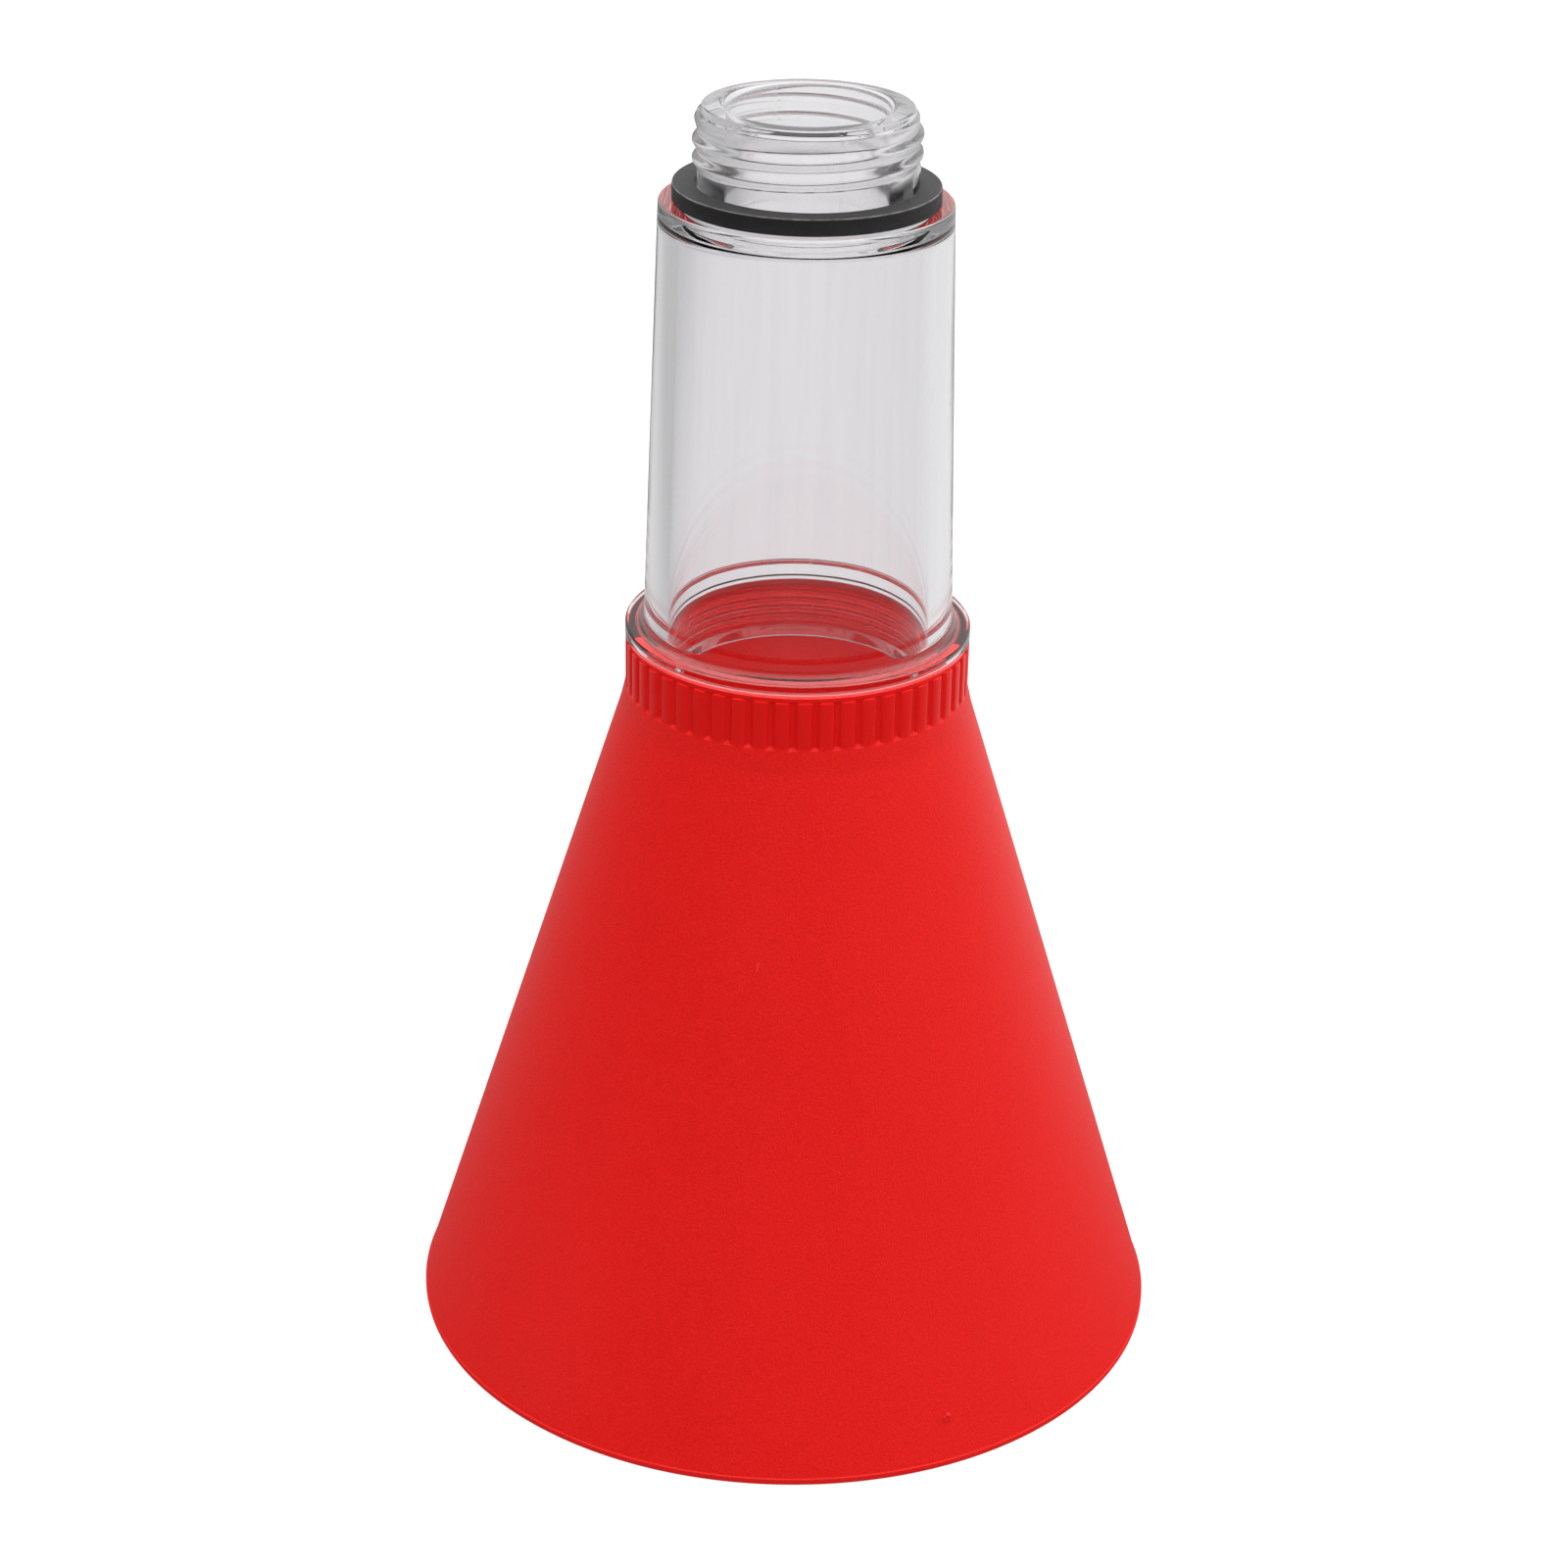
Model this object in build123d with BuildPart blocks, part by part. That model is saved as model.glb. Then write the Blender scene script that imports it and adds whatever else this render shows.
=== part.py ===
from build123d import *
import os

# Screw-together filling funnel, standing upside down on its wide mouth.
# Z = 0 is the plane of the mouth rim and +Z is the common axis of every
# piece, pointing towards the threaded neck. All sizes are millimetres.

# ---- cone ------------------------------------------------------------
mouth_r = 65.0          # outside radius of the wide mouth
mouth_in_r = 62.6       # inside radius of the wide mouth
land_h = 1.2            # short upright land round the mouth
land_edge = 0.45        # rounding of the land's outer lower edge
cone_foot_r = 64.60     # cone surface where it leaves the land
cone_foot_z = 1.38
cone_head_r = 30.22     # cone surface where it starts to turn up to the collar
cone_head_z = 111.4
cone_turn_r = 29.38     # middle of that turn
cone_turn_z = 114.5
cone_in_head_r = 26.80  # inside of the cone just under the collar
cone_in_head_z = 114.7

# ---- grip collar on the cone ----------------------------------------
collar_z0 = 117.1
collar_z1 = 126.3
collar_r = 28.75        # crest of the grip ribs
band_r = 28.40          # plain band above the ribs
band_h = 0.9
rib_count = 50
groove_r = 0.66         # radius of the round grooves between the ribs
groove_centre_r = 28.86
groove_phase = -134.0   # one groove's bearing, degrees
collar_bore_r = 25.70   # root of the female thread
collar_bore_z = 116.1
recess_r = 26.80        # pocket that holds the seal
recess_h = 1.3

# ---- joint thread between collar and spigot --------------------------
screw_pitch = 1.5
screw_turns_male = 4.4
screw_turns_female = 4.3
spigot_r = 24.80        # root of the male thread
male_crest_r = 25.45
female_crest_r = 25.05
male_z = 117.20
female_z = male_z + screw_pitch / 2
ridge_base = 0.70
ridge_top = 0.30

# ---- clear tube ------------------------------------------------------
spigot_z = 116.3
bore_low_r = 22.05      # inside radius at the spigot
flange_r = 28.75
flange_t = 2.15
tube_low_r = 25.70      # outside radius just above the flange
tube_high_r = 23.55     # outside radius at the shoulder
bore_high_r = 20.15     # inside radius under the shoulder
shoulder_z = 199.85
shoulder_t = 3.35
neck_base_r = 17.35     # plain seat for the gasket, under the thread
neck_base_z = 203.4
neck_r = 17.45          # root of the neck thread
lead_r = 16.80          # plain band above the thread
lead_z = 213.7
neck_bore_r = 13.0
neck_top_z = 215.0
root_fillet = 1.5
rim_round = 0.4

# ---- neck thread -----------------------------------------------------
neck_pitch = 3.0
neck_turns = 2.5
neck_thread_z = 204.9
neck_crest_r = 18.25
neck_ridge_base = 2.3
neck_ridge_top = 0.9

# ---- rings -----------------------------------------------------------
gasket_in_r = 17.65
gasket_out_r = 21.35
gasket_t = 2.75
seal_in_r = 24.95
seal_out_r = 26.50


# ======================================================================
# funnel_cone: wide cone, ribbed grip collar and female thread in one
# moulding
# ======================================================================
with BuildPart() as funnel_cone:
    with BuildSketch(Plane.XZ):
        with BuildLine():
            Polyline(
                (mouth_in_r, 0),
                (mouth_r - land_edge, 0),
                (mouth_r, land_edge),
                (mouth_r, land_h),
                (cone_foot_r, cone_foot_z),
                (cone_head_r, cone_head_z),
                (cone_turn_r, cone_turn_z),
                (collar_r, collar_z0),
                (collar_r, collar_z1 - band_h),
                (band_r, collar_z1 - band_h),
                (band_r, collar_z1 - 0.25),
                (band_r - 0.25, collar_z1),
                (recess_r, collar_z1),
                (recess_r, collar_z1 - recess_h),
                (collar_bore_r, collar_z1 - recess_h),
                (collar_bore_r, collar_bore_z),
                (cone_in_head_r, cone_in_head_z),
                (mouth_in_r, 0),
            )
        make_face()
    revolve(axis=Axis.Z)

    # round vertical grooves leave the grip ribs between them; each groove
    # ends on a small ledge where the cone begins
    with BuildSketch(Plane.XY.offset(collar_z0)):
        with PolarLocations(groove_centre_r, rib_count, start_angle=groove_phase):
            Circle(groove_r)
    extrude(amount=collar_z1 - band_h - collar_z0, mode=Mode.SUBTRACT)

    # female thread: a ridge standing inwards from the collar bore
    with BuildLine() as female_path:
        Helix(
            pitch=screw_pitch,
            height=screw_pitch * screw_turns_female,
            radius=collar_bore_r,
            center=(0, 0, female_z),
        )
    with BuildSketch(
        Plane(origin=female_path.line @ 0, x_dir=(1, 0, 0), z_dir=female_path.line % 0)
    ):
        with BuildLine():
            Polyline(
                (0.25, -ridge_base / 2),
                (0, -ridge_base / 2),
                (female_crest_r - collar_bore_r, -ridge_top / 2),
                (female_crest_r - collar_bore_r, ridge_top / 2),
                (0, ridge_base / 2),
                (0.25, ridge_base / 2),
                (0.25, -ridge_base / 2),
            )
        make_face()
    sweep(path=female_path.line, is_frenet=True)

funnel_cone.part.label = "funnel_cone"

# ======================================================================
# sight_tube: spigot with male thread, flange, tapered tube, shoulder and
# threaded neck in one clear moulding
# ======================================================================
flange_top_z = collar_z1 + flange_t
with BuildPart() as sight_tube:
    with BuildSketch(Plane.XZ) as tube_profile:
        with BuildLine():
            Polyline(
                (bore_low_r, spigot_z),
                (spigot_r - 0.4, spigot_z),
                (spigot_r, spigot_z + 0.4),
                (spigot_r, collar_z1),
                (flange_r, collar_z1),
                (flange_r, flange_top_z),
                (tube_low_r, flange_top_z),
                (tube_high_r, shoulder_z),
                (neck_base_r, shoulder_z),
                (neck_base_r, neck_base_z),
                (neck_r, neck_base_z + 0.1),
                (neck_r, lead_z),
                (lead_r, lead_z + 0.4),
                (lead_r, neck_top_z),
                (neck_bore_r, neck_top_z),
                (neck_bore_r, shoulder_z - shoulder_t),
                (bore_high_r, shoulder_z - shoulder_t),
                (bore_low_r, flange_top_z),
                (bore_low_r, spigot_z),
            )
        make_face()
    revolve(axis=Axis.Z)

    def ring(r, z):
        return [
            e
            for e in sight_tube.edges().filter_by(GeomType.CIRCLE)
            if abs(e.radius - r) < 1e-3 and abs(e.center().Z - z) < 1e-3
        ]

    fillet(ring(tube_low_r, flange_top_z), root_fillet)
    fillet(ring(lead_r, neck_top_z) + ring(neck_bore_r, neck_top_z), rim_round)
    fillet(ring(flange_r, flange_top_z), 0.6)
    fillet(ring(flange_r, collar_z1), 0.3)
    fillet(ring(tube_high_r, shoulder_z), 0.6)
    fillet(ring(neck_base_r, shoulder_z), 0.2)
    fillet(ring(bore_high_r, shoulder_z - shoulder_t), 1.6)
    fillet(ring(neck_bore_r, shoulder_z - shoulder_t), 0.8)

    # male thread of the spigot, half a pitch from the female ridge
    with BuildLine() as male_path:
        Helix(
            pitch=screw_pitch,
            height=screw_pitch * screw_turns_male,
            radius=spigot_r,
            center=(0, 0, male_z),
        )
    with BuildSketch(
        Plane(origin=male_path.line @ 0, x_dir=(1, 0, 0), z_dir=male_path.line % 0)
    ):
        with BuildLine():
            Polyline(
                (-0.25, -ridge_base / 2),
                (0, -ridge_base / 2),
                (male_crest_r - spigot_r, -ridge_top / 2),
                (male_crest_r - spigot_r, ridge_top / 2),
                (0, ridge_base / 2),
                (-0.25, ridge_base / 2),
                (-0.25, -ridge_base / 2),
            )
        make_face()
    sweep(path=male_path.line, is_frenet=True)

    # coarse male thread of the neck, right-handed
    with BuildLine() as neck_path:
        Helix(
            pitch=neck_pitch,
            height=neck_pitch * neck_turns,
            radius=neck_r,
            center=(0, 0, neck_thread_z),
        )
    with BuildSketch(
        Plane(origin=neck_path.line @ 0, x_dir=(1, 0, 0), z_dir=neck_path.line % 0)
    ):
        with BuildLine():
            Polyline(
                (-0.3, -neck_ridge_base / 2),
                (0, -neck_ridge_base / 2),
                (neck_crest_r - neck_r, -neck_ridge_top / 2),
                (neck_crest_r - neck_r, neck_ridge_top / 2),
                (0, neck_ridge_base / 2),
                (-0.3, neck_ridge_base / 2),
                (-0.3, -neck_ridge_base / 2),
            )
        make_face()
    sweep(path=neck_path.line, is_frenet=True)

sight_tube.part.label = "sight_tube"

# ======================================================================
# collar_seal: silicone ring in the collar's pocket, under the flange
# ======================================================================
with BuildPart() as collar_seal:
    with BuildSketch(Plane.XY.offset(collar_z1 - recess_h)):
        Circle(seal_out_r)
        Circle(seal_in_r, mode=Mode.SUBTRACT)
    extrude(amount=recess_h)
collar_seal.part.label = "collar_seal"

# ======================================================================
# neck_gasket: flat rubber washer lying on the shoulder round the neck
# ======================================================================
with BuildPart() as neck_gasket:
    with BuildSketch(Plane.XY.offset(shoulder_z)):
        Circle(gasket_out_r)
        Circle(gasket_in_r, mode=Mode.SUBTRACT)
    extrude(amount=gasket_t)
    chamfer(neck_gasket.edges().filter_by(GeomType.CIRCLE), 0.15)
neck_gasket.part.label = "neck_gasket"

os.makedirs("parts", exist_ok=True)
for piece, name in (
    (funnel_cone, "funnel_cone"),
    (sight_tube, "sight_tube"),
    (collar_seal, "collar_seal"),
    (neck_gasket, "neck_gasket"),
):
    export_step(piece.part, f"parts/{name}.step")
    print(name, len(piece.part.solids()), round(piece.part.volume, 1))
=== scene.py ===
import math

import bpy
import numpy as np
from mathutils import Matrix, Vector


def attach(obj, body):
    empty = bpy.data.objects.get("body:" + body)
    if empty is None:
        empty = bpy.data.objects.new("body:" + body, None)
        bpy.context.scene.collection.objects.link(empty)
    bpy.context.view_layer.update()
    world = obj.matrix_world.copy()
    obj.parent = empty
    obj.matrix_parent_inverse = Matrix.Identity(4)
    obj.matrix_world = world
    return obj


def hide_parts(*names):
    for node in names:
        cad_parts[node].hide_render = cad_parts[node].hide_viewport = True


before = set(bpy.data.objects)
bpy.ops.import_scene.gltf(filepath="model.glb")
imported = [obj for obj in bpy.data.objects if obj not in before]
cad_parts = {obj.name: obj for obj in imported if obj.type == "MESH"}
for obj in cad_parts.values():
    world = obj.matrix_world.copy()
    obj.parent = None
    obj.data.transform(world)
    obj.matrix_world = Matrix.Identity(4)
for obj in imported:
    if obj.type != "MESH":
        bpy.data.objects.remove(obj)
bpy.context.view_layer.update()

MM = 0.001
TAU = 2 * math.pi

# ---------------------------------------------------------------------
# mesh helpers: every moulding is a closed ring section swept round Z
# ---------------------------------------------------------------------


def section(points, support=0.12):
    """Closed loop of (r, z, corner radius, corner steps, step along the run that follows).
    Runs get a support point near each end so that smooth shading stays flat between corners."""
    n = len(points)
    arcs = []
    for i, p in enumerate(points):
        a = np.array(points[i - 1][:2], float)
        b = np.array(p[:2], float)
        c = np.array(points[(i + 1) % n][:2], float)
        rad = p[2] if len(p) > 2 else 0
        steps = p[3] if len(p) > 3 and p[3] else 4
        if rad <= 0:
            arcs.append([b])
            continue
        u = (a - b) / np.linalg.norm(a - b)
        v = (c - b) / np.linalg.norm(c - b)
        half = math.acos(max(-1, min(1, float(u @ v)))) / 2
        if abs(half - math.pi / 2) < 1e-3:
            arcs.append([b])
            continue
        t = rad / math.tan(half)
        start, end = b + u * t, b + v * t
        centre = b + (u + v) / np.linalg.norm(u + v) * rad / math.sin(half)
        s0, s1 = start - centre, end - centre
        ang0 = math.atan2(s0[1], s0[0])
        ang1 = math.atan2(s1[1], s1[0])
        d = (ang1 - ang0 + math.pi) % TAU - math.pi
        arcs.append(
            [
                centre
                + rad
                * np.array([math.cos(ang0 + d * k / steps), math.sin(ang0 + d * k / steps)])
                for k in range(steps + 1)
            ]
        )
    out = []
    for i, arc in enumerate(arcs):
        out.extend(arc)
        nxt = arcs[(i + 1) % n][0]
        a, b = arc[-1], nxt
        length = float(np.linalg.norm(b - a))
        step = points[i][4] if len(points[i]) > 4 else None
        if length < 1e-6:
            continue
        ts = []
        if length > 3.2 * support:
            ts += [support / length, 1 - support / length]
        if step:
            k = max(1, int(round(length / step)))
            ts += [j / k for j in range(1, k)]
        last = None
        for t in sorted(ts):
            if last is not None and (t - last) * length < 0.04:
                continue
            last = t
            out.append(a + (b - a) * t)
    return np.array(out)


def ring_mesh(name, sec, thetas, shape=None):
    """Sweeps a closed section (mm) round Z. shape(r, z, theta) may return changed r and z."""
    sec = np.asarray(sec, float)
    keep = [0]
    for i in range(1, len(sec)):
        if np.linalg.norm(sec[i] - sec[keep[-1]]) > 1e-4:
            keep.append(i)
    if np.linalg.norm(sec[keep[-1]] - sec[0]) < 1e-4:
        keep.pop()
    sec = sec[keep]
    R = np.repeat(sec[:, 0][:, None], len(thetas), 1)
    Z = np.repeat(sec[:, 1][:, None], len(thetas), 1)
    T = np.repeat(np.asarray(thetas)[None], len(sec), 0)
    if shape:
        R, Z = shape(R, Z, T)
    co = np.stack([R * np.cos(T), R * np.sin(T), Z], -1) * MM
    ns, nt = R.shape
    s = np.arange(ns)[:, None]
    t = np.arange(nt)[None]
    s2, t2 = (s + 1) % ns, (t + 1) % nt
    quads = np.stack([s * nt + t, s * nt + t2, s2 * nt + t2, s2 * nt + t], -1).reshape(-1, 4)
    mesh = bpy.data.meshes.new(name)
    mesh.vertices.add(ns * nt)
    mesh.vertices.foreach_set("co", co.reshape(-1).astype(np.float32))
    mesh.loops.add(quads.size)
    mesh.loops.foreach_set("vertex_index", quads.reshape(-1).astype(np.int32))
    mesh.polygons.add(len(quads))
    mesh.polygons.foreach_set("loop_start", np.arange(0, quads.size, 4, dtype=np.int32))
    mesh.polygons.foreach_set("use_smooth", np.ones(len(quads), bool))
    mesh.update(calc_edges=True)
    mesh.validate()
    ob = bpy.data.objects.new(name, mesh)
    bpy.context.scene.collection.objects.link(ob)
    return ob


def smooth(x, a, b):
    t = np.clip((x - a) / (b - a), 0, 1)
    return t * t * (3 - 2 * t)


def helix_bump(Z, T, z0, pitch, turns, half, power=1.0, fade=0.45):
    """Height from 0 to 1 of a rounded ridge on a right-hand helix that starts at theta 0."""
    out = np.zeros_like(Z)
    end = turns * TAU
    for k in range(-1, int(turns) + 2):
        tt = T + TAU * k
        zc = z0 + pitch * tt / TAU
        d = np.abs(Z - zc)
        b = np.where(d < half, (0.5 + 0.5 * np.cos(np.pi * np.clip(d / half, 0, 1))) ** power, 0)
        f = smooth(tt, -fade, fade) * smooth(-tt, -end - fade, -end + fade)
        out = np.maximum(out, b * f)
    return out


# ---------------------------------------------------------------------
# funnel_cone
# ---------------------------------------------------------------------
COLLAR_Z0, COLLAR_Z1 = 117.1, 126.3
COLLAR_R, BAND_R, BAND_H = 28.75, 28.40, 0.9
RIBS, PHASE = 50, math.radians(-134.0)
half_pitch = math.pi / RIBS * COLLAR_R
offs = [0, 0.3, 0.5, 0.62, 0.70, 0.92, 1.35, half_pitch]
offs = [-o for o in offs[1:-1][::-1]] + offs
cone_thetas = np.array(
    [PHASE + TAU * k / RIBS + o / COLLAR_R for k in range(RIBS) for o in offs]
)

cone_sec = section(
    [
        (62.6, 0.0, 0.25, 3),
        (65.0, 0.0, 0.5, 5),
        (65.0, 1.2, 0.08, 3),
        (64.80, 1.32, 0.10, 3, 12.0),
        (29.60, 113.4, 14.0, 8),
        (COLLAR_R, COLLAR_Z0, 0, 0, 1.2),
        (COLLAR_R, COLLAR_Z1 - BAND_H, 0.14, 4),
        (BAND_R, COLLAR_Z1 - BAND_H, 0.06, 2),
        (BAND_R, COLLAR_Z1, 0.25, 4),
        (26.80, COLLAR_Z1, 0.15, 3),
        (26.80, 125.0, 0.1, 2),
        (25.70, 125.0, 0.12, 3, 0.1),
        (25.70, 116.1, 0.5, 4),
        (26.80, 114.7, 2.0, 4, 12.0),
    ]
)
# extra rows where the grooves start and stop
extra = []
for i, p in enumerate(cone_sec):
    if abs(p[0] - COLLAR_R) < 1e-6 and COLLAR_Z0 + 0.01 < p[1] < COLLAR_Z0 + 0.65:
        continue
    extra.append(p)
    if abs(p[0] - COLLAR_R) < 1e-6 and abs(p[1] - COLLAR_Z0) < 1e-6:
        extra += [np.array([COLLAR_R, COLLAR_Z0 + z]) for z in (0.06, 0.13, 0.20, 0.28, 0.37, 0.48, 0.60)]
cone_sec = np.array(extra)


def cone_shape(R, Z, T):
    d = (T - PHASE) % (TAU / RIBS)
    d = np.minimum(d, TAU / RIBS - d) * COLLAR_R
    groove = np.sqrt(np.clip(0.66**2 - d**2, 0, None)) - 0.11
    groove = np.where(groove > 0, groove, 0)
    edge = 0.05 * smooth(0.92 - d, 0, 0.3)
    groove = np.maximum(groove, edge)
    crown = 0.10 * (1 - ((half_pitch - d) / (half_pitch - 0.65)).clip(0, 1) ** 2)
    crown = 0.10 - crown
    outer = (R > 28.1) & (Z > COLLAR_Z0 - 0.05) & (Z < COLLAR_Z1 - BAND_H + 0.02)
    amount = np.sqrt(np.clip((Z - COLLAR_Z0) / 0.48, 0, 1)).clip(0, 1)
    cut = np.where(outer, (groove + crown) * amount, 0)
    R = R - cut
    # the flange beds down on the collar along the front half
    bed = (R > 26.7) & (R < 28.2) & (Z > COLLAR_Z1 - 0.01)
    Z = np.where(bed, Z + 0.04 * smooth(-np.sin(T), 0.30, 0.72), Z)
    inner = (R < 25.75) & (Z > 116.5) & (Z < 124.95)
    bump = helix_bump(Z, T, 117.95, 1.5, 4.3, 0.42, 0.8)
    R = np.where(inner, R - 0.42 * bump, R)
    return R, Z


cone = ring_mesh("funnel_cone_moulding", cone_sec, cone_thetas, cone_shape)
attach(cone, "cone")
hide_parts("funnel_cone")

# torn stub of the moulding gate
GATE_A, GATE_Z = math.radians(-63.8), 8.08
slope = math.atan((64.60 - 29.60) / (113.4 - 1.42))
gate_r = 64.60 - (64.60 - 29.60) / (113.4 - 1.42) * (GATE_Z - 1.42)
rng = np.random.default_rng(7)


def blob(name, radius, height, rings=7, cols=24, twist=0.0):
    """Small low dome with a torn top, built on the XY plane."""
    verts, faces = [], []
    for i in range(rings + 1):
        f = i / rings
        for j in range(cols):
            a = TAU * j / cols
            rr = radius * (1 - f) * (1 + 0.20 * math.sin(2 * a + twist) + 0.11 * math.sin(5 * a))
            h = height * (1 - (1 - f) ** 2.6)
            h *= 1 + 0.35 * math.cos(a - 0.6) * f * (1 - f) * 2
            if f > 0.45:
                h -= height * 0.45 * smooth(np.array(f), 0.45, 0.8) * (0.6 + 0.4 * math.sin(3 * a + 1))
            verts.append((rr * math.cos(a), rr * math.sin(a), float(h) - 0.12))
    verts = verts[: rings * cols] + [(0, 0, height * 0.35 - 0.12)]
    top = len(verts) - 1
    for i in range(rings - 1):
        for j in range(cols):
            k = (j + 1) % cols
            faces.append((i * cols + j, i * cols + k, (i + 1) * cols + k, (i + 1) * cols + j))
    for j in range(cols):
        k = (j + 1) % cols
        faces.append(((rings - 1) * cols + j, (rings - 1) * cols + k, top))
    faces.append(tuple(range(cols))[::-1])
    mesh = bpy.data.meshes.new(name)
    mesh.from_pydata([(x * MM, y * MM, z * MM) for x, y, z in verts], [], faces)
    mesh.polygons.foreach_set("use_smooth", [True] * len(mesh.polygons))
    ob = bpy.data.objects.new(name, mesh)
    bpy.context.scene.collection.objects.link(ob)
    return ob


gate = blob("gate_stub", 0.98, 0.74)
normal = Vector(
    (math.cos(GATE_A) * math.cos(slope), math.sin(GATE_A) * math.cos(slope), math.sin(slope))
)
up = Vector((0, 0, 1))
side = up.cross(normal).normalized()
tall = normal.cross(side).normalized()
rot = Matrix((side, tall, normal)).transposed().to_4x4()
gate.data.transform(
    Matrix.Translation(
        Vector((gate_r * math.cos(GATE_A), gate_r * math.sin(GATE_A), GATE_Z)) * MM
    )
    @ rot
)
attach(gate, "cone")

# ---------------------------------------------------------------------
# sight_tube
# ---------------------------------------------------------------------
tube_thetas = np.arange(384) * TAU / 384
FLANGE_Z = COLLAR_Z1 + 2.15
tube_sec = section(
    [
        (22.05, 116.3, 0.15, 3),
        (22.90, 116.3, 0.15, 3),
        (24.80, 117.9, 0.3, 4, 0.1),
        (24.80, COLLAR_Z1, 0.15, 3),
        (28.75, COLLAR_Z1, 0.12, 4),
        (28.75, FLANGE_Z, 0.40, 6),
        (25.70, FLANGE_Z, 1.5, 8, 9.0),
        (23.55, 199.85, 0.6, 6),
        (17.35, 199.85, 0.2, 4),
        (17.40, 203.40, 0, 0, 0.12),
        (17.45, 213.70, 0.35, 4),
        (16.95, 214.05, 0.35, 4),
        (16.78, 215.0, 0.38, 6),
        (13.00, 215.0, 1.05, 9, 2.0),
        (13.00, 196.5, 0.8, 6),
        (20.15, 196.5, 1.6, 8, 9.0),
    ]
)
PART_A = math.radians(-71.5)


def tube_shape(R, Z, T):
    outer_spigot = (np.abs(R - 24.80) < 0.02) & (Z < 126.0) & (Z > 116.8)
    thread = 0.24 * helix_bump(Z, T, 117.20, 1.5, 4.4, 0.72, 1.0) * smooth(Z, 117.9, 118.6)
    R = np.where(outer_spigot, R + thread, R)
    neck = (R > 16.7) & (R < 17.5) & (Z > 203.3) & (Z < 214.6)
    bump = helix_bump(Z, T, 204.9, 3.0, 2.5, 1.50, 0.85, 0.30)
    R = np.where(neck, np.maximum(R, 17.45 * (bump > 0)) + 0.78 * bump, R)
    # mould parting line, two fine ridges down the neck
    for a in (PART_A, PART_A + math.pi):
        d = np.abs((T - a + math.pi) % TAU - math.pi)
        R = np.where(neck, R + 0.09 * np.exp(-((d / 0.016) ** 2)), R)
    return R, Z


tube = ring_mesh("sight_tube_moulding", tube_sec, tube_thetas, tube_shape)
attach(tube, "tube")
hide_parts("sight_tube")

# ---------------------------------------------------------------------
# rings
# ---------------------------------------------------------------------
ring_thetas = np.arange(256) * TAU / 256
gasket_sec = section(
    [
        (17.65, 199.85, 0.15, 3),
        (21.35, 199.85, 0.15, 3, 0.7),
        (21.35, 202.60, 0.18, 4, 0.8),
        (17.65, 202.60, 0.15, 3, 0.7),
    ]
)
gasket = ring_mesh("neck_gasket_washer", gasket_sec, ring_thetas)
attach(gasket, "gasket")
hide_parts("neck_gasket")



def seal_shape(R, Z, T):
    # squeezed against the flange along the front half
    return R, np.where(Z > 126.1, Z + 0.06 * smooth(-np.sin(T), 0.30, 0.72), Z)


seal_sec = section(
    [
        (24.95, 125.02, 0.35, 5),
        (26.50, 125.02, 0.35, 5),
        (26.50, 126.28, 0.15, 4),
        (24.95, 126.28, 0.15, 4),
    ]
)
seal = ring_mesh("collar_seal_ring", seal_sec, ring_thetas, seal_shape)
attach(seal, "seal")
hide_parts("collar_seal")

# ---------------------------------------------------------------------
# materials
# ---------------------------------------------------------------------


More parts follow.
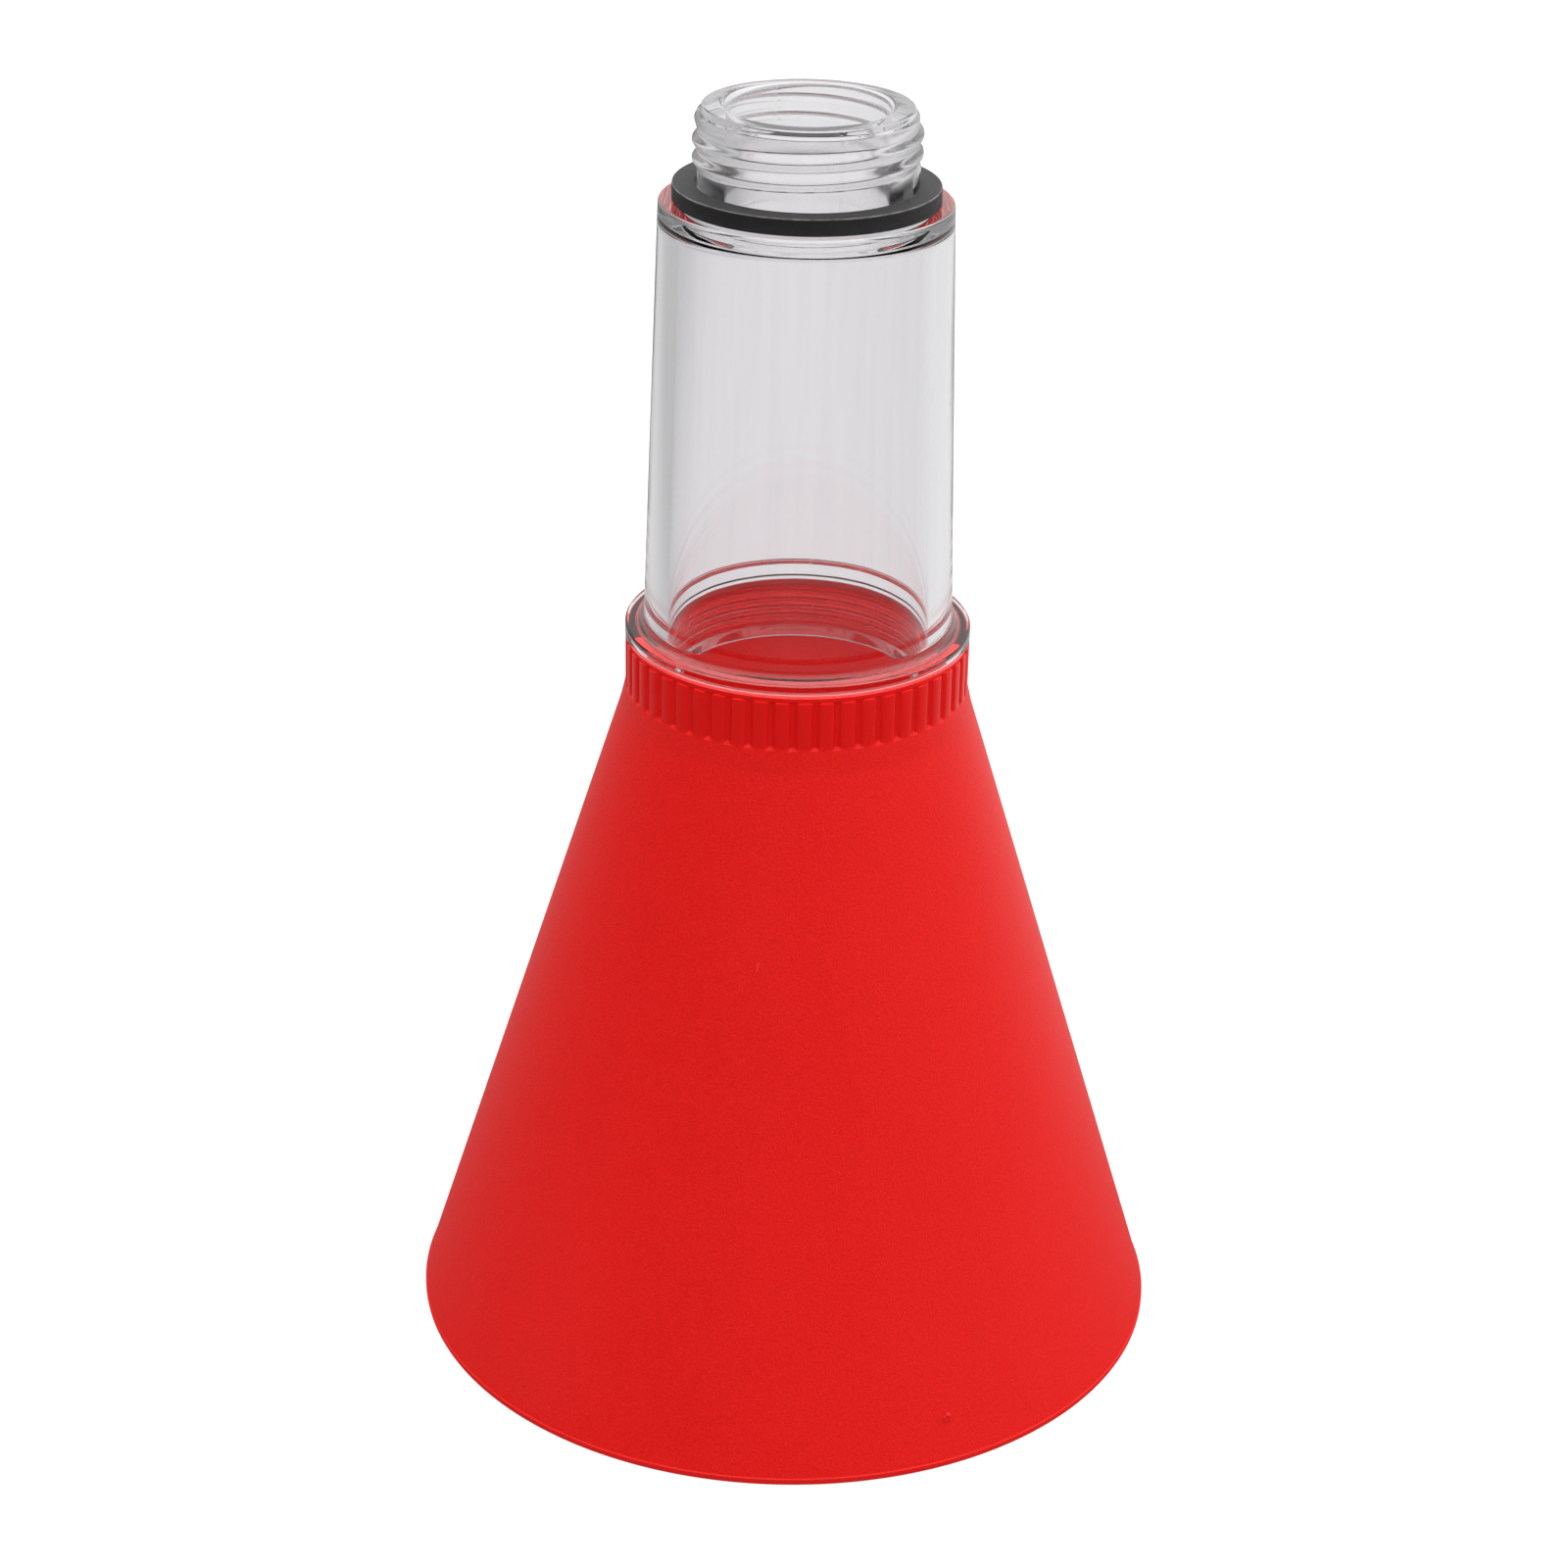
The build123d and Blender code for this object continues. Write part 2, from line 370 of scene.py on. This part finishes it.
class Mat:
    def __init__(self, name):
        self.m = bpy.data.materials.new(name)
        self.m.use_nodes = True
        self.t = self.m.node_tree
        self.t.nodes.clear()
        self.out = self.n("ShaderNodeOutputMaterial")
        self.b = self.n("ShaderNodeBsdfPrincipled")
        self.t.links.new(self.b.outputs[0], self.out.inputs[0])
        self.co = self.n("ShaderNodeTexCoord")

    def n(self, kind, **kw):
        node = self.t.nodes.new(kind)
        for k, v in kw.items():
            setattr(node, k, v)
        return node

    def link(self, a, b):
        self.t.links.new(a, b)

    def scaled(self, x, y, z):
        m = self.n("ShaderNodeMapping")
        m.inputs["Scale"].default_value = (x, y, z)
        self.link(self.co.outputs["Object"], m.inputs["Vector"])
        return m.outputs[0]

    def noise(self, scale, detail=2, rough=0.5, vec=None, dist=0.0):
        n = self.n("ShaderNodeTexNoise")
        n.inputs["Scale"].default_value = scale
        n.inputs["Detail"].default_value = detail
        n.inputs["Roughness"].default_value = rough
        n.inputs["Distortion"].default_value = dist
        self.link(vec or self.co.outputs["Object"], n.inputs["Vector"])
        return n.outputs["Fac"]

    def ramp(self, fac, a, b, ca=(0, 0, 0, 1), cb=(1, 1, 1, 1)):
        r = self.n("ShaderNodeValToRGB")
        e = r.color_ramp.elements
        e[0].position, e[1].position = a, b
        e[0].color, e[1].color = ca, cb
        self.link(fac, r.inputs[0])
        return r.outputs[0]

    def range(self, fac, lo, hi, a=0.0, b=1.0):
        r = self.n("ShaderNodeMapRange")
        r.inputs["From Min"].default_value = a
        r.inputs["From Max"].default_value = b
        r.inputs["To Min"].default_value = lo
        r.inputs["To Max"].default_value = hi
        self.link(fac, r.inputs["Value"])
        return r.outputs[0]

    def math(self, op, a, b=None):
        m = self.n("ShaderNodeMath", operation=op)
        for i, v in enumerate((a, b)):
            if v is None:
                continue
            if isinstance(v, (int, float)):
                m.inputs[i].default_value = v
            else:
                self.link(v, m.inputs[i])
        return m.outputs[0]

    def mix(self, fac, a, b):
        m = self.n("ShaderNodeMix", data_type="RGBA")
        if isinstance(fac, (int, float)):
            m.inputs[0].default_value = fac
        else:
            self.link(fac, m.inputs[0])
        for i, v in ((6, a), (7, b)):
            if isinstance(v, tuple):
                m.inputs[i].default_value = v
            else:
                self.link(v, m.inputs[i])
        return m.outputs[2]

    def bump(self, height, strength, distance, prev=None):
        b = self.n("ShaderNodeBump")
        b.inputs["Strength"].default_value = strength
        b.inputs["Distance"].default_value = distance
        self.link(height, b.inputs["Height"])
        if prev is not None:
            self.link(prev, b.inputs["Normal"])
        return b.outputs[0]

    def set(self, **kw):
        for k, v in kw.items():
            self.b.inputs[k.replace("_", " ")].default_value = v


# red polypropylene: fine spark-eroded grain, faint cloudiness, a few scuffs
red = Mat("red_polypropylene")
cloud = red.noise(38, 3, 0.55)
grain = red.noise(3200, 2, 0.6)
grain2 = red.noise(1300, 3, 0.6)
scuff_vec = red.scaled(260, 260, 42)
scuff = red.noise(1.0, 3, 0.6, scuff_vec, 0.6)
scuff_mask = red.math("MULTIPLY", red.ramp(scuff, 0.735, 0.765), red.ramp(red.noise(55, 1), 0.52, 0.62))
body_col = red.mix(cloud, (0.760, 0.0040, 0.0022, 1), (0.805, 0.0058, 0.0036, 1))
pit = red.noise(3300, 2, 0.55)
red_pos = red.n("ShaderNodeSeparateXYZ")
red.link(red.co.outputs["Object"], red_pos.inputs[0])
body_zone = red.range(red_pos.outputs[2], 1, 0, 0.1166, 0.1176)
body_col = red.mix(red.math("MULTIPLY", body_zone, red.range(pit, 0.0, 0.22, 0.50, 0.66)), body_col, (0.98, 0.030, 0.022, 1))
body_col = red.mix(red.math("MULTIPLY", body_zone, red.range(pit, 0.20, 0.0, 0.34, 0.46)), body_col, (0.45, 0.002, 0.001, 1))
red.link(
    red.mix(red.math("MULTIPLY", scuff_mask, 0.35), body_col, (0.80, 0.16, 0.14, 1)),
    red.b.inputs["Base Color"],
)
red.link(
    red.math("ADD", red.math("ADD", red.range(grain2, 0.28, 0.36), red.math("MULTIPLY", body_zone, 0.13)), red.range(cloud, -0.03, 0.03)),
    red.b.inputs["Roughness"],
)
red.link(
    red.bump(red.math("MULTIPLY", pit, body_zone), 0.6, 0.00014, red.bump(grain2, 0.2, 0.00008)), red.b.inputs["Normal"]
)
red.b.inputs["Specular IOR Level"].default_value = 0.22
red.b.inputs["Subsurface Weight"].default_value = 0.35
red.b.inputs["Subsurface Radius"].default_value = (1.0, 0.12, 0.10)
red.b.inputs["Subsurface Scale"].default_value = 0.0014
for ob in (cone, gate):
    ob.data.materials.append(red.m)

# clear plastic: faint cool tint, flow ripple, dust-fine scratches
clear = Mat("clear_moulded_plastic")
flow_vec = clear.scaled(60, 60, 14)
flow = clear.noise(1.0, 2, 0.5, flow_vec)
fine = clear.noise(700, 2, 0.6)
# the thread inserts of the mould leave a faintly frosted band
pos = clear.n("ShaderNodeSeparateXYZ")
clear.link(clear.co.outputs["Object"], pos.inputs[0])
rad = clear.math("SQRT", clear.math("ADD", clear.math("MULTIPLY", pos.outputs[0], pos.outputs[0]),
                                    clear.math("MULTIPLY", pos.outputs[1], pos.outputs[1])))
neck_out = clear.math("MULTIPLY", clear.math("GREATER_THAN", rad, 0.0160), clear.math("LESS_THAN", rad, 0.0185))
neck_band = clear.math("MULTIPLY", clear.range(pos.outputs[2], 0, 1, 0.2030, 0.2045),
                       clear.range(pos.outputs[2], 1, 0, 0.2132, 0.2142))
foot_out = clear.math("GREATER_THAN", rad, 0.0243)
foot_band = clear.math("LESS_THAN", pos.outputs[2], 0.1262)
thread_zone = clear.math("MAXIMUM", clear.math("MULTIPLY", neck_out, neck_band),
                         clear.math("MULTIPLY", foot_out, foot_band))
scratch_vec = clear.scaled(900, 900, 90)
scr = clear.ramp(clear.noise(1.0, 2, 0.6, scratch_vec, 0.4), 0.70, 0.76)
streak = clear.ramp(clear.noise(1.0, 3, 0.6, clear.scaled(330, 330, 5)), 0.48, 0.66)
body_tint = clear.mix(flow, (0.937, 0.929, 0.944, 1), (0.960, 0.952, 0.965, 1))
clear.link(
    clear.mix(clear.math("MULTIPLY", streak, 0.30), body_tint, (0.86, 0.855, 0.872, 1)), clear.b.inputs["Base Color"]
)
clear.link(
    clear.math(
        "ADD",
        clear.math("ADD", clear.range(fine, 0.012, 0.030), clear.math("MULTIPLY", scr, 0.10)),
        clear.math("MULTIPLY", thread_zone, 0.18),
    ),
    clear.b.inputs["Roughness"],
)
clear.link(clear.bump(flow, 0.25, 0.00025), clear.b.inputs["Normal"])
clear.b.inputs["Transmission Weight"].default_value = 1.0
clear.b.inputs["IOR"].default_value = 1.49
tube.data.materials.append(clear.m)

# black rubber: matte, faint bloom and lint, with a painted highlight along the top outer edge
rub = Mat("black_rubber")
bloom = rub.noise(160, 3, 0.6)
speck = rub.ramp(rub.noise(1500, 2, 0.6), 0.70, 0.78)
rub_pos = rub.n("ShaderNodeSeparateXYZ")
rub.link(rub.co.outputs["Object"], rub_pos.inputs[0])
rub_rad = rub.math("SQRT", rub.math("ADD", rub.math("MULTIPLY", rub_pos.outputs[0], rub_pos.outputs[0]),
                                    rub.math("MULTIPLY", rub_pos.outputs[1], rub_pos.outputs[1])))
# painted highlight: the washer's top outer edge is lightened to grey in patches, standing in for light caught by that
# edge
rim_band = rub.math("MULTIPLY", rub.range(rub_rad, 0, 1, 0.02112, 0.02122), rub.range(rub_pos.outputs[2], 0, 1, 0.20238, 0.20248))
painted_rim_highlight = rub.math("MULTIPLY", rim_band, rub.range(rub.noise(420, 3, 0.7), 0.15, 1.0, 0.35, 0.62))
rub_base = rub.mix(bloom, (0.0085, 0.0078, 0.0076, 1), (0.0165, 0.0150, 0.0145, 1))
rub_col = rub.mix(rub.math("MULTIPLY", painted_rim_highlight, 0.85), rub_base, (0.20, 0.195, 0.19, 1))
rub.link(
    rub.mix(rub.math("MULTIPLY", speck, 0.12), rub_col, (0.25, 0.23, 0.21, 1)),
    rub.b.inputs["Base Color"],
)
rub.link(rub.range(bloom, 0.55, 0.68), rub.b.inputs["Roughness"])
rub.link(
    rub.bump(rub.noise(2200, 3, 0.6), 0.55, 0.00012, rub.bump(bloom, 0.2, 0.0001)),
    rub.b.inputs["Normal"],
)
gasket.data.materials.append(rub.m)

# silicone joint ring, coloured like the cone
sil = Mat("joint_silicone")
sn = sil.noise(400, 2, 0.5)
sil.link(
    sil.mix(sn, (0.42, 0.018, 0.016, 1), (0.50, 0.026, 0.022, 1)), sil.b.inputs["Base Color"]
)
sil.link(sil.range(sn, 0.5, 0.62), sil.b.inputs["Roughness"])
sil.link(sil.bump(sil.noise(1500, 2), 0.2, 0.00004), sil.b.inputs["Normal"])
seal.data.materials.append(sil.m)

# ---------------------------------------------------------------------
# stage: plain white floor, soft light from the sides, back and above
# ---------------------------------------------------------------------


def vmath(tree, op, a, b=None, c=None):
    m = tree.nodes.new("ShaderNodeMath")
    m.operation = op
    for i, v in enumerate((a, b, c)):
        if v is None:
            continue
        if isinstance(v, (int, float)):
            m.inputs[i].default_value = v
        else:
            tree.links.new(v, m.inputs[i])
    return m.outputs[0]


def vrange(tree, x, a, b, lo, hi):
    m = tree.nodes.new("ShaderNodeMapRange")
    m.interpolation_type = "SMOOTHSTEP"
    for name, v in (("From Min", a), ("From Max", b), ("To Min", lo), ("To Max", hi)):
        m.inputs[name].default_value = v
    tree.links.new(x, m.inputs["Value"])
    return m.outputs[0]


SKY_HIGH = 1.76
FRONT_FILL = 0.46
LOW_LEFT, LOW_RIGHT, LOW_BACK, LOW_FRONT = 0.24, 0.76, 0.78, 0.05
THROUGH, THROUGH_FRONT, INSIDE_GAIN = 0.84, 0.62, 6.0
FLOOR_SEEN, FLOOR_THROUGH, FLOOR_DIFFUSE = 0.86, 0.87, 0.48
INSIDE_DIFFUSE = 1.5
scene = bpy.context.scene
world = bpy.data.worlds.new("studio")
scene.world = world
world.use_nodes = True
wt = world.node_tree
wt.nodes.clear()
wo = wt.nodes.new("ShaderNodeOutputWorld")
wc = wt.nodes.new("ShaderNodeTexCoord")
ws = wt.nodes.new("ShaderNodeSeparateXYZ")
wt.links.new(wc.outputs["Generated"], ws.inputs[0])
WX, WY, WZ = ws.outputs[0], ws.outputs[1], ws.outputs[2]
low = vrange(wt, WX, -0.35, 0.95, LOW_LEFT, LOW_RIGHT)
low = vmath(wt, "ADD", low, vrange(wt, WY, 0.30, 0.95, 0.0, LOW_BACK - LOW_LEFT))
low = vmath(wt, "MULTIPLY", low, vrange(wt, WY, -0.95, -0.35, LOW_FRONT / LOW_LEFT, 1.0))
lift = vrange(wt, WZ, 0.40, 0.75, 0.0, 1.0)
sky = vmath(wt, "MULTIPLY_ADD", lift, SKY_HIGH, low)
path = wt.nodes.new("ShaderNodeLightPath")
front = vrange(wt, WY, -0.97, -0.55, 1.0, 0.0)
clear_sky = vmath(wt, "MULTIPLY_ADD", front, THROUGH_FRONT - THROUGH, THROUGH)
clear_sky = vmath(wt, "MULTIPLY", clear_sky, vrange(wt, WX, -0.75, -0.15, 0.62, 1.0))
clear_sky = vmath(wt, "MULTIPLY", clear_sky, vrange(wt, path.outputs["Diffuse Depth"], 0.0, 1.0, 1.0, INSIDE_GAIN))
fill = vmath(wt, "MULTIPLY", vrange(wt, WY, -0.95, 0.15, FRONT_FILL, 0.0), path.outputs["Is Diffuse Ray"])
sky = vmath(wt, "ADD", sky, vmath(wt, "MULTIPLY", fill, vrange(wt, WZ, 0.0, 0.6, 1.0, 0.25)))
back = vmath(wt, "MULTIPLY", vrange(wt, WY, 0.10, 0.85, 0.0, 0.45), path.outputs["Is Diffuse Ray"])
sky = vmath(wt, "SUBTRACT", sky, vmath(wt, "MULTIPLY", back, vrange(wt, WZ, 0.0, 0.6, 1.0, 0.4)))
sky_gap = vmath(wt, "SUBTRACT", clear_sky, sky)
sky = vmath(wt, "MULTIPLY_ADD", path.outputs["Is Transmission Ray"], sky_gap, sky)
amb = wt.nodes.new("ShaderNodeBackground")
amb.inputs[0].default_value = (1.0, 1.0, 1.0, 1)
wt.links.new(sky, amb.inputs[1])
seen = wt.nodes.new("ShaderNodeBackground")
seen.inputs[0].default_value = (1, 1, 1, 1)
seen.inputs[1].default_value = 1.0
mixw = wt.nodes.new("ShaderNodeMixShader")
wt.links.new(path.outputs["Is Camera Ray"], mixw.inputs[0])
wt.links.new(amb.outputs[0], mixw.inputs[1])
wt.links.new(seen.outputs[0], mixw.inputs[2])
wt.links.new(mixw.outputs[0], wo.inputs[0])

floor_mesh = bpy.data.meshes.new("floor")
s = 8.0
floor_mesh.from_pydata([(-s, -s, -0.0001), (s, -s, -0.0001), (s, s, -0.0001), (-s, s, -0.0001)], [], [(0, 1, 2, 3)])
floor = bpy.data.objects.new("floor", floor_mesh)
scene.collection.objects.link(floor)
fm = bpy.data.materials.new("floor_white")
fm.use_nodes = True
ft = fm.node_tree
ft.nodes.clear()
fo = ft.nodes.new("ShaderNodeOutputMaterial")
fc = ft.nodes.new("ShaderNodeTexCoord")
fs = ft.nodes.new("ShaderNodeSeparateXYZ")
ft.links.new(fc.outputs["Object"], fs.inputs[0])
gloss = vrange(ft, fs.outputs[1], -0.15, 0.25, 0.05, 0.60)
gloss = vmath(ft, "MULTIPLY", gloss, vrange(ft, fs.outputs[0], -0.4, 0.4, 0.55, 1.3))
fp = ft.nodes.new("ShaderNodeLightPath")
bounced = vmath(ft, "SUBTRACT", 1.0, fp.outputs["Is Transmission Ray"])
mirror = vmath(ft, "MULTIPLY", fp.outputs["Is Glossy Ray"], bounced)
through = vrange(ft, fs.outputs[1], -0.10, 0.10, 0.66, FLOOR_THROUGH)
through = vmath(ft, "MULTIPLY", through, vrange(ft, fs.outputs[0], -0.34, -0.05, 0.62, 1.0))
through = vmath(ft, "MULTIPLY", through, vrange(ft, fs.outputs[0], 0.05, 0.34, 1.0, 0.92))
through = vmath(ft, "MULTIPLY", through, vrange(ft, fp.outputs["Diffuse Depth"], 0.0, 1.0, 1.0, INSIDE_GAIN))
# the disc of floor under the mouth is shut off from the room, and lights the inside evenly
far = vmath(ft, "SQRT", vmath(ft, "ADD", vmath(ft, "MULTIPLY", fs.outputs[0], fs.outputs[0]),
                              vmath(ft, "MULTIPLY", fs.outputs[1], fs.outputs[1])))
outside = vrange(ft, far, 0.0600, 0.0635, 0.0, 1.0)
through = vmath(ft, "MULTIPLY", through, outside)
gloss = vmath(ft, "MULTIPLY", gloss, outside)
lit = vmath(ft, "MULTIPLY_ADD", mirror, vmath(ft, "SUBTRACT", gloss, through), through)
spread = vmath(ft, "MULTIPLY", fp.outputs["Is Diffuse Ray"], bounced)
ground = vmath(ft, "MULTIPLY_ADD", outside, FLOOR_DIFFUSE - INSIDE_DIFFUSE, INSIDE_DIFFUSE)
lit = vmath(ft, "MULTIPLY_ADD", spread, vmath(ft, "SUBTRACT", ground, through), lit)
fe = ft.nodes.new("ShaderNodeEmission")
ft.links.new(lit, fe.inputs["Strength"])
seen_d = ft.nodes.new("ShaderNodeBsdfDiffuse")
seen_d.inputs[0].default_value = (0.30, 0.30, 0.30, 1)
seen_e = ft.nodes.new("ShaderNodeEmission")
seen_e.inputs["Strength"].default_value = FLOOR_SEEN
fadd = ft.nodes.new("ShaderNodeAddShader")
ft.links.new(seen_d.outputs[0], fadd.inputs[0])
ft.links.new(seen_e.outputs[0], fadd.inputs[1])
fmix = ft.nodes.new("ShaderNodeMixShader")
ft.links.new(fp.outputs["Is Camera Ray"], fmix.inputs[0])
ft.links.new(fe.outputs[0], fmix.inputs[1])
ft.links.new(fadd.outputs[0], fmix.inputs[2])
ft.links.new(fmix.outputs[0], fo.inputs[0])
floor_mesh.materials.append(fm)

# ---------------------------------------------------------------------
# camera
# ---------------------------------------------------------------------
CAM_H, CAM_D, CAM_F = 0.34769, 0.52960, 3506.07
PITCH, ROLL = 0.441171, 0.0213
PX, PY = 810.50, 801.0
cam_data = bpy.data.cameras.new("camera")
cam_data.sensor_width = 36
cam_data.lens = CAM_F * 36 / 1600
cam_data.shift_x = (800 - PX) / 1600
cam_data.shift_y = (PY - 800) / 1600
cam_data.clip_start = 0.01
cam = bpy.data.objects.new("camera", cam_data)
scene.collection.objects.link(cam)
cam.matrix_world = (
    Matrix.Translation((0, -CAM_D, CAM_H))
    @ Matrix.Rotation(math.pi / 2 - PITCH, 4, "X")
    @ Matrix.Rotation(ROLL, 4, "Z")
)
scene.camera = cam

scene.cycles.max_bounces = 24
scene.cycles.glossy_bounces = 12
scene.cycles.transmission_bounces = 20
scene.cycles.diffuse_bounces = 6
scene.view_settings.view_transform = "Standard"
scene.view_settings.look = "None"
